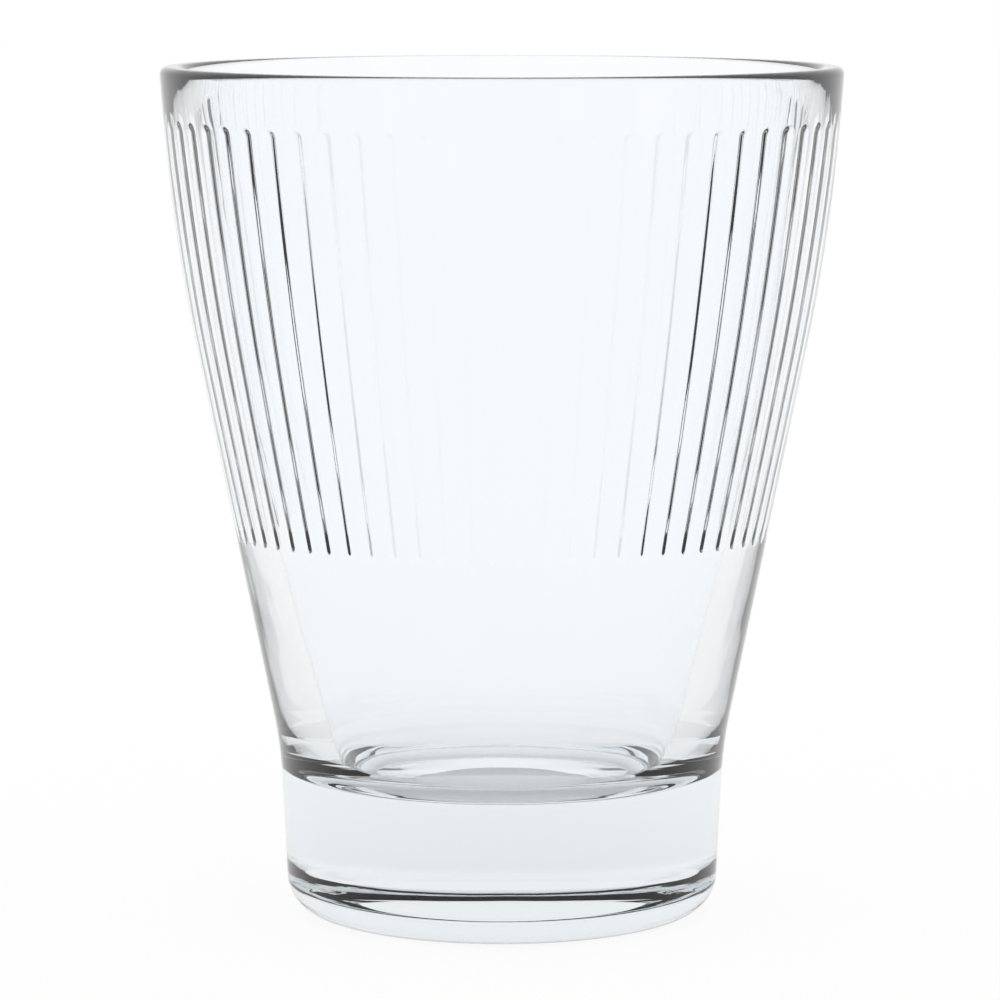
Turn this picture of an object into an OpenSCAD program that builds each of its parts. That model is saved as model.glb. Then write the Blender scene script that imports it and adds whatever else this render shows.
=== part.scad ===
// A cortado glass: one piece of clear pressed glass with a rounded lip, a plain band below it,
// a ring of low upright ribs on the inside of the wall, a smooth lower wall and a thick solid base.
// The origin is the middle of the foot, on the table, with +Z up.

/* [Lip] */
// Height from the table to the top of the lip
height = 88; // [80:0.5:100]
// Outside diameter at the lip, before it is rounded
rim_d = 70.4; // [70.1:0.1:74]
// Inside diameter at the lip, before it is rounded
mouth_d = 65.6; // [62:0.1:65.9]
// Radius that rounds the lip on each side
lip_r = 0.8; // [0.6:0.05:1.2]

/* [Outside wall] */
// Height where the upper wall starts to lean in faster
shoulder_h = 71; // [64:0.5:74]
// Outside diameter at that height, before it is rounded
shoulder_d = 67.9; // [64:0.1:68.4]
// Radius of the long curve that rounds the shoulder
shoulder_r = 190; // [120:5:210]
// Height where the leaning wall meets the base, before it is blended
base_h = 17.5; // [15:0.5:22]
// Outside diameter where the leaning wall meets the base
base_top_d = 46.2; // [45:0.1:50]
// Radius of the hollow blend between the wall and the base
blend_r = 44; // [20:1:46]

/* [Foot] */
// Outside diameter of the base at the table, before the heel is rounded
foot_d = 44.5; // [42:0.1:45.5]
// Radius of the rounded heel
heel_r = 4; // [1:0.1:4.4]
// Width of the flat ring that the glass stands on
ring_w = 1; // [0.6:0.1:5]
// Height of the shallow hollow under the base
hollow_h = 1.6; // [0.4:0.1:2]
// Diameter of the flat top of that hollow
hollow_d = 20; // [16:0.5:28]
// Radius that softens the edges of the hollow
hollow_r = 1.2; // [0.4:0.1:2]

/* [Inside] */
// Thickness of the solid base under the inside floor
floor_h = 14.1; // [9:0.1:16]
// Inside diameter at the floor, before its corner is rounded
floor_d = 34; // [28:0.5:35]
// Radius of the corner between the floor and the inside wall
floor_r = 5; // [1:0.1:6]
// Height where the inside wall bows outward most
bow_h = 49.6; // [45:0.1:56]
// Inside diameter at that height, before it is rounded
bow_d = 53; // [52:0.1:54]
// Radius of the long curve of the inside wall
bow_r = 310; // [150:10:340]

/* [Ribs] */
// Number of upright ribs round the inside
rib_count = 60; // [30:1:72]
// Width of a rib at its upper end
rib_w = 2; // [1:0.05:2.2]
// Height of a rib above the wall
rib_height = 0.18; // [0.1:0.01:0.4]
// Height of the plain band between the top of the lip and the ribs
band_h = 5.1; // [4:0.1:12]
// Height of the lower ends of the ribs
rib_foot_h = 39.4; // [30:0.1:50]
// Angle of the first rib, anticlockwise from +X
rib_start = -1.75; // [-3:0.05:3]

/* [Hidden] */
// Straight steps that make up one small rounded corner
corner_steps = 12;
// Straight steps that make up one long curve
curve_steps = 6;
// Straight steps along one rib
rib_steps = 8;
// How far a rib is sunk into the wall
overlap = 1;
// Facets of a circle
$fn = 96;

// Unit vector from one point of an outline towards another
function toward(from, to) = (to - from) / norm(to - from);

// Points of an arc, from one angle to another
function arc(middle, radius, first, last, steps) =
    [for (i = [0 : steps])
        let (angle = first + (last - first) * i / steps)
        middle + radius * [cos(angle), sin(angle)]];

// Half of the angle between the two sides that meet at a corner
function half_angle(before, corner, after) =
    acos(toward(corner, before) * toward(corner, after)) / 2;

// Middle of the arc that rounds a corner
function round_middle(before, corner, after, radius) =
    let (
        inward = toward(corner, before) + toward(corner, after),
        reach = radius / sin(half_angle(before, corner, after))
    )
    corner + reach * inward / norm(inward);

// Points of the arc that rounds a corner
function rounded(before, corner, after, radius, steps) =
    let (
        half = half_angle(before, corner, after),
        middle = round_middle(before, corner, after, radius),
        start = corner + toward(corner, before) * radius / tan(half) - middle,
        side = sign(cross(toward(corner, before), toward(corner, after))),
        first = atan2(start[1], start[0])
    )
    arc(middle, radius, first, first + side * (2 * half - 180), steps);

// The corners of half of the glass before they are rounded, as radius from the axis and height
hollow_middle = [0, hollow_h];
hollow_edge = [hollow_d / 2, hollow_h];
heel = [foot_d / 2, 0];
base_top = [base_top_d / 2, base_h];
heel_reach = heel_r / tan(half_angle([0, 0], heel, base_top));
ring_edge = [heel[0] - heel_reach - ring_w, 0];
shoulder = [shoulder_d / 2, shoulder_h];
rim = [rim_d / 2, height];
mouth = [mouth_d / 2, height];
bow = [bow_d / 2, bow_h];
floor_edge = [floor_d / 2, floor_h];
floor_middle = [0, floor_h];

// Height of the upper ends of the ribs
rib_top_h = height - band_h;

// The inside wall's long curve: its middle, and the points where it runs into the straight wall
bow_middle = round_middle(mouth, bow, floor_edge, bow_r);
bow_reach = bow_r / tan(half_angle(mouth, bow, floor_edge));
bow_top = bow + bow_reach * toward(bow, mouth);
bow_foot = bow + bow_reach * toward(bow, floor_edge);

// Radius at a height on the straight line through two points
function line_r(low, high, z) = low[0] + (high[0] - low[0]) * (z - low[1]) / (high[1] - low[1]);

// Radius of the inside wall at a height
function wall_r(z) =
    z > bow_top[1] ? line_r(bow, mouth, z)
    : z < bow_foot[1] ? line_r(floor_edge, bow, z)
    : bow_middle[0] + sqrt(bow_r * bow_r - (z - bow_middle[1]) * (z - bow_middle[1]));

// Points up the ribbed part of the inside wall, moved out from it
function along_wall(out) =
    [for (i = [0 : rib_steps])
        let (z = rib_foot_h + (rib_top_h - rib_foot_h) * i / rib_steps)
        [wall_r(z) + out, z]];

// How far a rib reaches round the glass
rib_turn = 2 * asin(rib_w / 2 / wall_r(rib_top_h));

// Half of the glass, cut through its axis
module half_section() {
    polygon(concat(
        [hollow_middle],
        rounded(hollow_middle, hollow_edge, ring_edge, hollow_r, corner_steps),
        rounded(hollow_edge, ring_edge, heel, hollow_r, corner_steps),
        rounded(ring_edge, heel, base_top, heel_r, corner_steps),
        rounded(heel, base_top, shoulder, blend_r, curve_steps),
        rounded(base_top, shoulder, rim, shoulder_r, curve_steps),
        rounded(shoulder, rim, mouth, lip_r, corner_steps),
        rounded(rim, mouth, bow, lip_r, corner_steps),
        rounded(mouth, bow, floor_edge, bow_r, curve_steps),
        rounded(bow, floor_edge, floor_middle, floor_r, corner_steps),
        [floor_middle]
    ));
}

// One rib, with its back sunk into the wall
module rib() {
    face = along_wall(-rib_height);
    back = along_wall(overlap);
    rotate([0, 0, -rib_turn / 2])
        rotate_extrude(angle = rib_turn)
            polygon(concat(face, [for (i = [len(back) - 1 : -1 : 0]) back[i]]));
}

// The glass: the turned section with a ring of ribs pressed on its inside
module tumbler() {
    color("lightcyan") {
        rotate_extrude()
            half_section();
        for (i = [0 : rib_count - 1])
            rotate([0, 0, rib_start + i * 360 / rib_count])
                rib();
    }
}

tumbler();
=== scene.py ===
import math

import bpy
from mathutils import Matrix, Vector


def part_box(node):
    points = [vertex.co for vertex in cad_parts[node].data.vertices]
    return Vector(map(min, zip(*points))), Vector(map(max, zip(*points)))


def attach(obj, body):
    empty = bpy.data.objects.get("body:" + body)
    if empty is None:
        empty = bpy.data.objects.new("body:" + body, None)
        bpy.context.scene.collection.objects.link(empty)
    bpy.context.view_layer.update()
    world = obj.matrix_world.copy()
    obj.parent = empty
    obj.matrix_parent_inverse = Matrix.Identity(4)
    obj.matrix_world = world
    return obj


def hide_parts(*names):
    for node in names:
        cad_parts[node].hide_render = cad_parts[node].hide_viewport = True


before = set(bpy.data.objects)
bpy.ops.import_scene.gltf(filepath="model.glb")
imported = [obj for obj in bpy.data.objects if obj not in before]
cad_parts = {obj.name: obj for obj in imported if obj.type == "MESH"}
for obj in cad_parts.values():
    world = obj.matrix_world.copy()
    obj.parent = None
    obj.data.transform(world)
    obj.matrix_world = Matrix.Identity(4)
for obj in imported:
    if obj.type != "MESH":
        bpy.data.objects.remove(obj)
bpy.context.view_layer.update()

# The camera stands in front of the glass, a little above the lip, and looks slightly down with no shift.
# So the mouth is a narrow ellipse, and the base is seen from above.
mm = 0.001
image_px = 1000
sensor_mm = 36
camera_away = 520 * mm
camera_high = 105.5 * mm
camera_left = 0.2 * mm
camera_pitch = math.radians(6.853)
focal_px = 5041

camera_data = bpy.data.cameras.new("front_camera")
camera_data.sensor_width = sensor_mm
camera_data.lens = focal_px / image_px * sensor_mm
camera = bpy.data.objects.new("front_camera", camera_data)
camera.location = (-camera_left, -camera_away, camera_high)
camera.rotation_euler = (math.pi / 2 - camera_pitch, 0, 0)
bpy.context.scene.collection.objects.link(camera)
bpy.context.scene.camera = camera


# The tumbler is one piece of clear soda-lime glass, pressed in a mould by a plunger and then fire-polished.
# Its half-section is a line of corners with rounds, turned about the axis. Round-ended slots in the plunger
# leave sixty low ribs on the inside of the wall.
lowest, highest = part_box("tumbler")
height = highest[2] - lowest[2]
rim_r = 35.2 * mm
mouth_r = 32.8 * mm
lip_round = 0.8 * mm
shoulder = (33.95 * mm, 71 * mm)
shoulder_round = 190 * mm
base_top = (23.1 * mm, 17.5 * mm)
blend_round = 44 * mm
heel = (22.25 * mm, 0)
heel_round = 4 * mm
ring_edge = (17.44 * mm, 0)
hollow_edge = (10 * mm, 1.6 * mm)
hollow_round = 1.2 * mm
floor_edge = (17 * mm, 14.1 * mm)
floor_round = 5 * mm
bow = (26.5 * mm, 49.6 * mm)
bow_round = 310 * mm
rib_count = 60
rib_share = 0.6
rib_height = 0.18 * mm
rib_top = 82.9 * mm
rib_foot = 39.4 * mm
rib_start = math.radians(-1.75)

# How finely the mesh follows it: steps on each round, and rows and columns between them
hollow_steps = 4
heel_steps = 14
base_steps = 4
blend_steps = 8
shoulder_steps = 12
lip_steps = 9
bow_steps = 16
floor_steps = 12
band_rows = 3
end_rows = 8
rib_rows = 14
wall_rows = 6
rib_columns = 10
land_columns = 3
seam_gap = 0.001 * mm


def round_corner(before, corner, after, radius, steps):
    """Points of the arc that rounds a corner of the half-section."""
    to_before = math.atan2(before[1] - corner[1], before[0] - corner[0])
    to_after = math.atan2(after[1] - corner[1], after[0] - corner[0])
    bend = (to_after - to_before + math.pi) % math.tau - math.pi
    half = abs(bend) / 2
    middle_way = to_before + bend / 2
    middle = (
        corner[0] + radius / math.sin(half) * math.cos(middle_way),
        corner[1] + radius / math.sin(half) * math.sin(middle_way),
    )
    sweep = math.copysign(math.pi - 2 * half, bend)
    first = middle_way + math.pi + sweep / 2
    return [
        (
            middle[0] + radius * math.cos(first - sweep * i / steps),
            middle[1] + radius * math.sin(first - sweep * i / steps),
        )
        for i in range(steps + 1)
    ]


def between(start, end, steps):
    """Points between two ends of a straight stretch, without the ends."""
    return [
        (
            start[0] + (end[0] - start[0]) * i / steps,
            start[1] + (end[1] - start[1]) * i / steps,
        )
        for i in range(1, steps)
    ]


rim = (rim_r, height)
mouth = (mouth_r, height)
hollow_middle = (0, hollow_edge[1])
floor_middle = (0, floor_edge[1])

underside = (
    [hollow_middle]
    + round_corner(hollow_middle, hollow_edge, ring_edge, hollow_round, hollow_steps)
    + round_corner(hollow_edge, ring_edge, heel, hollow_round, hollow_steps)
    + round_corner(ring_edge, heel, base_top, heel_round, heel_steps)
)
blend = round_corner(heel, base_top, shoulder, blend_round, blend_steps)
base_side = between(underside[-1], blend[0], base_steps)
shoulder_curve = round_corner(base_top, shoulder, rim, shoulder_round, shoulder_steps)
lip_outside = round_corner(shoulder, rim, mouth, lip_round, lip_steps)
lip = lip_outside + round_corner(rim, mouth, bow, lip_round, lip_steps)
bow_curve = round_corner(mouth, bow, floor_edge, bow_round, bow_steps)
floor_corner = round_corner(bow, floor_edge, floor_middle, floor_round, floor_steps)


def inside_radius(z):
    """Radius of the inside of the wall at a height between the lip and the floor."""
    line = [lip[-1]] + bow_curve + [floor_corner[0]]
    for (r0, z0), (r1, z1) in zip(line, line[1:]):
        if z >= z1:
            break
    return r0 + (r1 - r0) * (z - z0) / (z1 - z0)


# Rows of the inside wall lie close together at the two ends of the ribs, where the round ends need them
end_reach = rib_share / 2 * math.tau / rib_count * mouth_r
rib_ends = [rib_top, rib_top - end_reach, rib_foot + end_reach, rib_foot]
inside_ends = [lip[-1][1]] + rib_ends + [floor_corner[0][1]]
inside_rows = [band_rows, end_rows, rib_rows, end_rows, wall_rows]
inside_heights = [
    high + (low - high) * i / count
    for high, low, count in zip(inside_ends, inside_ends[1:], inside_rows)
    for i in range(count)
]
inside_wall = [(inside_radius(z), z) for z in inside_heights[1:]]

outside = underside + base_side + blend + shoulder_curve + lip
section = outside + inside_wall + floor_corner + [floor_middle]


def add(tree, kind, links, **settings):
    """Adds a node, with its settings, and links or sets its inputs."""
    made = tree.nodes.new(kind)
    for name, value in settings.items():
        setattr(made, name, value)
    for socket, source in links.items():
        if isinstance(source, bpy.types.NodeSocket):
            tree.links.new(source, made.inputs[socket])
        else:
            made.inputs[socket].default_value = source
    return made.outputs


section_mesh = bpy.data.meshes.new("tumbler_section")
section_mesh.from_pydata(
    [(r, 0, z) for r, z in section], [(i, i + 1) for i in range(len(section) - 1)], []
)
on_inside_wall = section_mesh.attributes.new("on_inside_wall", "FLOAT", "POINT")
for i in range(len(inside_wall)):
    on_inside_wall.data[len(outside) + i].value = 1
section_object = bpy.data.objects.new("tumbler_section", section_mesh)
bpy.context.scene.collection.objects.link(section_object)

turn = bpy.data.node_groups.new("turn_and_rib", "GeometryNodeTree")
turn.interface.new_socket("Section", in_out="INPUT", socket_type="NodeSocketGeometry")
tree_inputs = {
    "Ribs": ("NodeSocketInt", rib_count),
    "Rib columns": ("NodeSocketInt", rib_columns),
    "Land columns": ("NodeSocketInt", land_columns),
    "Rib half": ("NodeSocketFloat", rib_share / 2),
    "First rib": ("NodeSocketFloat", rib_start),
    "Height": ("NodeSocketFloat", rib_height),
    "Low end": ("NodeSocketFloat", rib_foot + end_reach),
    "High end": ("NodeSocketFloat", rib_top - end_reach),
    "Material": ("NodeSocketMaterial", None),
}
identifiers = {}
for name, (kind, value) in tree_inputs.items():
    identifiers[name] = turn.interface.new_socket(name, in_out="INPUT", socket_type=kind).identifier
turn.interface.new_socket("Glass", in_out="OUTPUT", socket_type="NodeSocketGeometry")

# A grid with the angle along X and the row of the half-section along Y is rolled up into the glass
given = add(turn, "NodeGroupInput", {})
section_size = add(
    turn, "GeometryNodeAttributeDomainSize", {0: given["Section"]}, component="MESH"
)
row_count = section_size["Point Count"]
row_span = add(turn, "ShaderNodeMath", {0: row_count, 1: 1.0}, operation="SUBTRACT")[0]
per_rib = add(
    turn, "ShaderNodeMath", {0: given["Rib columns"], 1: given["Land columns"]}, operation="ADD"
)[0]
columns = add(
    turn, "ShaderNodeMath", {0: given["Ribs"], 1: per_rib, 2: 1.0}, operation="MULTIPLY_ADD"
)[0]
grid = add(
    turn,
    "GeometryNodeMeshGrid",
    {"Size X": math.tau, "Size Y": row_span, "Vertices X": columns, "Vertices Y": row_count},
)["Mesh"]
position = add(turn, "GeometryNodeInputPosition", {})[0]
spot = add(turn, "ShaderNodeSeparateXYZ", {0: position})
row = add(
    turn, "ShaderNodeMath", {0: row_span, 1: 0.5, 2: spot["Y"]}, operation="MULTIPLY_ADD"
)[0]
row_number = add(turn, "FunctionNodeFloatToInt", {0: row}, rounding_mode="ROUND")[0]
place = add(
    turn,
    "GeometryNodeSampleIndex",
    {0: given["Section"], "Value": position, "Index": row_number},
    data_type="FLOAT_VECTOR",
)[0]
wall_here = add(
    turn, "GeometryNodeInputNamedAttribute", {"Name": "on_inside_wall"}, data_type="FLOAT"
)[0]
ribbed = add(
    turn,
    "GeometryNodeSampleIndex",
    {0: given["Section"], "Value": wall_here, "Index": row_number},
    data_type="FLOAT",
)[0]
radius_and_height = add(turn, "ShaderNodeSeparateXYZ", {0: place})
radius, z = radius_and_height["X"], radius_and_height["Z"]

# Each pitch is a rib, with close columns, and the land beside it, with wide ones
pitch = add(turn, "ShaderNodeMath", {0: math.tau, 1: given["Ribs"]}, operation="DIVIDE")[0]
even = add(turn, "ShaderNodeMath", {0: spot["X"], 1: pitch}, operation="DIVIDE")[0]
number = add(turn, "ShaderNodeMath", {0: even}, operation="FLOOR")[0]
share = add(turn, "ShaderNodeMath", {0: even}, operation="FRACT")[0]
rib_part = add(
    turn, "ShaderNodeMath", {0: given["Rib columns"], 1: per_rib}, operation="DIVIDE"
)[0]
left = add(turn, "ShaderNodeMath", {0: given["Rib half"], 1: -1.0}, operation="MULTIPLY")[0]
land = add(turn, "ShaderNodeMath", {0: left, 1: 2.0, 2: 1.0}, operation="MULTIPLY_ADD")[0]
in_rib = add(
    turn,
    "ShaderNodeMapRange",
    {"Value": share, "From Max": rib_part, "To Min": left, "To Max": given["Rib half"]},
)[0]
in_land = add(
    turn,
    "ShaderNodeMapRange",
    {"Value": share, "From Min": rib_part, "From Max": 1.0, "To Min": 0.0, "To Max": land},
)[0]
aside = add(turn, "ShaderNodeMath", {0: in_rib, 1: in_land}, operation="ADD")[0]
turns = add(turn, "ShaderNodeMath", {0: number, 1: aside}, operation="ADD")[0]
turned = add(
    turn, "ShaderNodeMath", {0: turns, 1: pitch, 2: given["First rib"]}, operation="MULTIPLY_ADD"
)[0]

# How far a point lies from the middle line of its rib, in half widths, gives its height there
across = add(turn, "ShaderNodeMath", {0: aside, 1: given["Rib half"]}, operation="DIVIDE")[0]
half_angle = add(turn, "ShaderNodeMath", {0: given["Rib half"], 1: pitch}, operation="MULTIPLY")[0]
half_width = add(turn, "ShaderNodeMath", {0: half_angle, 1: radius}, operation="MULTIPLY")[0]
nearest = add(
    turn, "ShaderNodeClamp", {"Value": z, "Min": given["Low end"], "Max": given["High end"]}
)[0]
past_end = add(turn, "ShaderNodeMath", {0: z, 1: nearest}, operation="SUBTRACT")[0]
along = add(turn, "ShaderNodeMath", {0: past_end, 1: half_width}, operation="DIVIDE")[0]
away = add(turn, "ShaderNodeCombineXYZ", {"X": across, "Y": along})[0]
distance = add(turn, "ShaderNodeVectorMath", {0: away}, operation="LENGTH")["Value"]
pressed = add(
    turn,
    "ShaderNodeMapRange",
    {"Value": distance, "From Max": 1.0, "To Min": given["Height"], "To Max": 0.0},
    interpolation_type="SMOOTHSTEP",
)[0]
raised = add(turn, "ShaderNodeMath", {0: pressed, 1: ribbed}, operation="MULTIPLY")[0]
raised_radius = add(turn, "ShaderNodeMath", {0: radius, 1: raised}, operation="SUBTRACT")[0]
unturned = add(turn, "ShaderNodeCombineXYZ", {"X": raised_radius, "Z": z})[0]
rolled = add(
    turn, "ShaderNodeVectorRotate", {"Vector": unturned, "Angle": turned}, rotation_type="Z_AXIS"
)[0]
placed = add(turn, "GeometryNodeSetPosition", {"Geometry": grid, "Position": rolled})[0]
closed = add(turn, "GeometryNodeMergeByDistance", {"Geometry": placed, "Distance": seam_gap})[0]
smooth = add(
    turn, "GeometryNodeSetShadeSmooth", {"Geometry": closed, "Shade Smooth": True}
)[0]
real = add(turn, "GeometryNodeRealizeInstances", {0: smooth})[0]
glazed = add(
    turn, "GeometryNodeSetMaterial", {"Geometry": real, "Material": given["Material"]}
)[0]
add(turn, "NodeGroupOutput", {"Glass": glazed})


def linear(hex_colour):
    """sRGB hex to linear RGBA."""
    parts = [int(hex_colour[i : i + 2], 16) / 255 for i in (1, 3, 5)]
    return [c / 12.92 if c <= 0.04045 else ((c + 0.055) / 1.055) ** 2.4 for c in parts] + [1]


# Clear glass with a cool cast that deepens in the thick base. Faint cords run up it, and its fire-polished
# skin is slightly wavy, which makes the edges that are seen through it waver.
cord_width = 5 * mm
cord_stretch = 0.2
cord_detail = 2.0
cord_light = "#FFFFFF"
cord_dark = "#F9FCFF"
wave_length = 7 * mm
wave_depth = 0.02 * mm
wave_detail = 1.0
depth_tint = "#B9C6CB"
depth_density = 7.0
refractive_index = 1.52

glass = bpy.data.materials.new("pressed_soda_lime_glass")
glass.use_nodes = True
nodes = glass.node_tree
nodes.nodes.clear()
here = add(nodes, "ShaderNodeTexCoord", {})["Object"]
drawn = add(
    nodes, "ShaderNodeVectorMath", {0: here, 1: (1, 1, cord_stretch)}, operation="MULTIPLY"
)["Vector"]
cords = add(
    nodes,
    "ShaderNodeTexNoise",
    {"Vector": drawn, "Scale": 1 / cord_width, "Detail": cord_detail},
)["Fac"]
cast = add(
    nodes, "ShaderNodeMix", {0: cords, 6: linear(cord_dark), 7: linear(cord_light)}, data_type="RGBA"
)[2]
waves = add(
    nodes,
    "ShaderNodeTexNoise",
    {"Vector": here, "Scale": 1 / wave_length, "Detail": wave_detail},
)["Fac"]
wavy = add(nodes, "ShaderNodeBump", {"Height": waves, "Distance": wave_depth})["Normal"]
body = add(
    nodes,
    "ShaderNodeBsdfPrincipled",
    {
        "Base Color": cast,
        "Roughness": 0.0,
        "IOR": refractive_index,
        "Transmission Weight": 1.0,
        "Normal": wavy,
    },
)[0]
tint = add(
    nodes,
    "ShaderNodeVolumeAbsorption",
    {"Color": linear(depth_tint), "Density": depth_density},
)[0]
add(nodes, "ShaderNodeOutputMaterial", {"Surface": body, "Volume": tint})

tree_inputs["Material"] = ("NodeSocketMaterial", glass)
maker = section_object.modifiers.new("turn_and_rib", "NODES")
maker.node_group = turn
for name, (kind, value) in tree_inputs.items():
    maker[identifiers[name]] = value
evaluated = section_object.evaluated_get(bpy.context.evaluated_depsgraph_get())
tumbler_mesh = bpy.data.meshes.new_from_object(evaluated)
bpy.data.objects.remove(section_object)
tumbler_mesh.name = "pressed_tumbler"
tumbler = bpy.data.objects.new("pressed_tumbler", tumbler_mesh)
bpy.context.scene.collection.objects.link(tumbler)
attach(tumbler, "root")
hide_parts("tumbler")


# The studio is a sheet of white acrylic as the table, in an even white surround. To the camera the sheet is
# mostly lit from within, so that it is as white as the surround and keeps only a faint shadow.
# Through the glass less of that glow is seen.
table_half = 3.0
white = "#FFFFFF"
white_level = 1.0
glow_direct = 0.9
glow_through = 0.3

table_mesh = bpy.data.meshes.new("white_table")
table_mesh.from_pydata(
    [(table_half * x, table_half * y, 0) for x, y in ((-1, -1), (1, -1), (1, 1), (-1, 1))],
    [],
    [range(4)],
)
acrylic = bpy.data.materials.new("white_acrylic_sheet")
acrylic.use_nodes = True
nodes = acrylic.node_tree
nodes.nodes.clear()
path = add(nodes, "ShaderNodeLightPath", {})
through = add(
    nodes,
    "ShaderNodeMath",
    {0: path["Is Glossy Ray"], 1: path["Is Transmission Ray"]},
    operation="MAXIMUM",
)[0]
direct = add(
    nodes, "ShaderNodeMath", {0: path["Is Camera Ray"], 1: glow_direct}, operation="MULTIPLY"
)[0]
glow_share = add(
    nodes, "ShaderNodeMath", {0: through, 1: glow_through, 2: direct}, operation="MULTIPLY_ADD"
)[0]
matt = add(nodes, "ShaderNodeBsdfDiffuse", {"Color": linear(white)})[0]
glow = add(nodes, "ShaderNodeEmission", {"Color": linear(white), "Strength": white_level})[0]
sheet = add(nodes, "ShaderNodeMixShader", {0: glow_share, 1: matt, 2: glow})[0]
add(nodes, "ShaderNodeOutputMaterial", {"Surface": sheet})
table_mesh.materials.append(acrylic)
table = bpy.data.objects.new("white_table", table_mesh)
bpy.context.scene.collection.objects.link(table)

world = bpy.data.worlds.new("studio")
bpy.context.scene.world = world
world.use_nodes = True
world.node_tree.nodes.clear()
surround = add(
    world.node_tree, "ShaderNodeBackground", {"Color": linear(white), "Strength": white_level}
)[0]
add(world.node_tree, "ShaderNodeOutputWorld", {"Surface": surround})

bpy.context.scene.view_settings.view_transform = "Standard"
